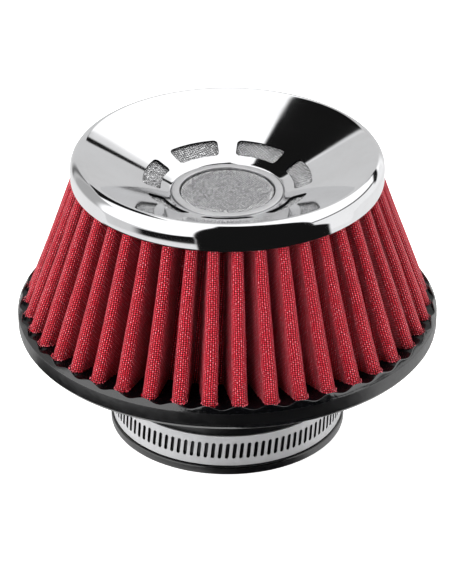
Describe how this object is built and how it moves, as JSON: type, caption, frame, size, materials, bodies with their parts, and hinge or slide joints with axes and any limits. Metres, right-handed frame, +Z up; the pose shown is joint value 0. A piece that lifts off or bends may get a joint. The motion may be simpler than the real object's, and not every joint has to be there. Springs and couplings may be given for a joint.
{
  "type": "conical air filter",
  "caption": "Clamp-on conical intake filter: pleated red gauze between a black rubber base with a round neck and a slotted chrome cap, held by a worm-drive band clamp.",
  "frame": {"origin": "centre of the neck's lower end face, which the filter stands on", "axes": "+Z up the filter's axis from the neck to the cap, +Y towards the clamp's screw, +X from the screw's tip to its head"},
  "size_m": [0.15, 0.15, 0.106],
  "materials": {
    "base_rubber": "semi-gloss moulded black",
    "potting_resin": "poured, glossy black",
    "cap_chrome": "mirror polished",
    "ring_satin": "satin",
    "grey_wire": "fine woven wire",
    "red_gauze": "oiled red woven gauze",
    "cotton_media": "layered cotton gauze",
    "cage_steel": "zinc plated",
    "clamp_steel": "stainless"
  },
  "bodies": {
    "filter": {"base_moulding": "base_rubber", "base_potting": "potting_resin", "top_cap": "cap_chrome", "centre_ring": "ring_satin", "top_outer_screen": "grey_wire", "top_media": "cotton_media", "top_inner_screen": "grey_wire", "top_potting": "potting_resin", "outer_gauze": "red_gauze", "pleated_media": "cotton_media", "inner_screen": "cage_steel", "seam_strip": "cage_steel", "inner_cage": "cage_steel"},
    "clamp": {"clamp_band": "clamp_steel", "clamp_housing": "clamp_steel"},
    "tail": {"clamp_tail": "clamp_steel"},
    "screw": {"clamp_screw": "clamp_steel"}
  },
  "joints": [
    {"name": "clamp_turn", "type": "hinge", "parent": "filter", "child": "clamp", "pos_m": [0, 0, 0.0094], "axis": [0, 0, 1], "continuous": true},
    {"name": "screw_turn", "type": "hinge", "parent": "clamp", "child": "screw", "pos_m": [0, 0.0461, 0.0094], "axis": [-1, 0, 0], "range_deg": [-2160, 720]},
    {"name": "tail_travel", "type": "hinge", "parent": "clamp", "child": "tail", "pos_m": [0, 0, 0.0094], "axis": [0, 0, -1], "range_deg": [-20.6, 6.8]}
  ],
  "couplings": [
    {"joint": "screw_turn", "follows": "tail_travel", "ratio": 104.51}
  ]
}
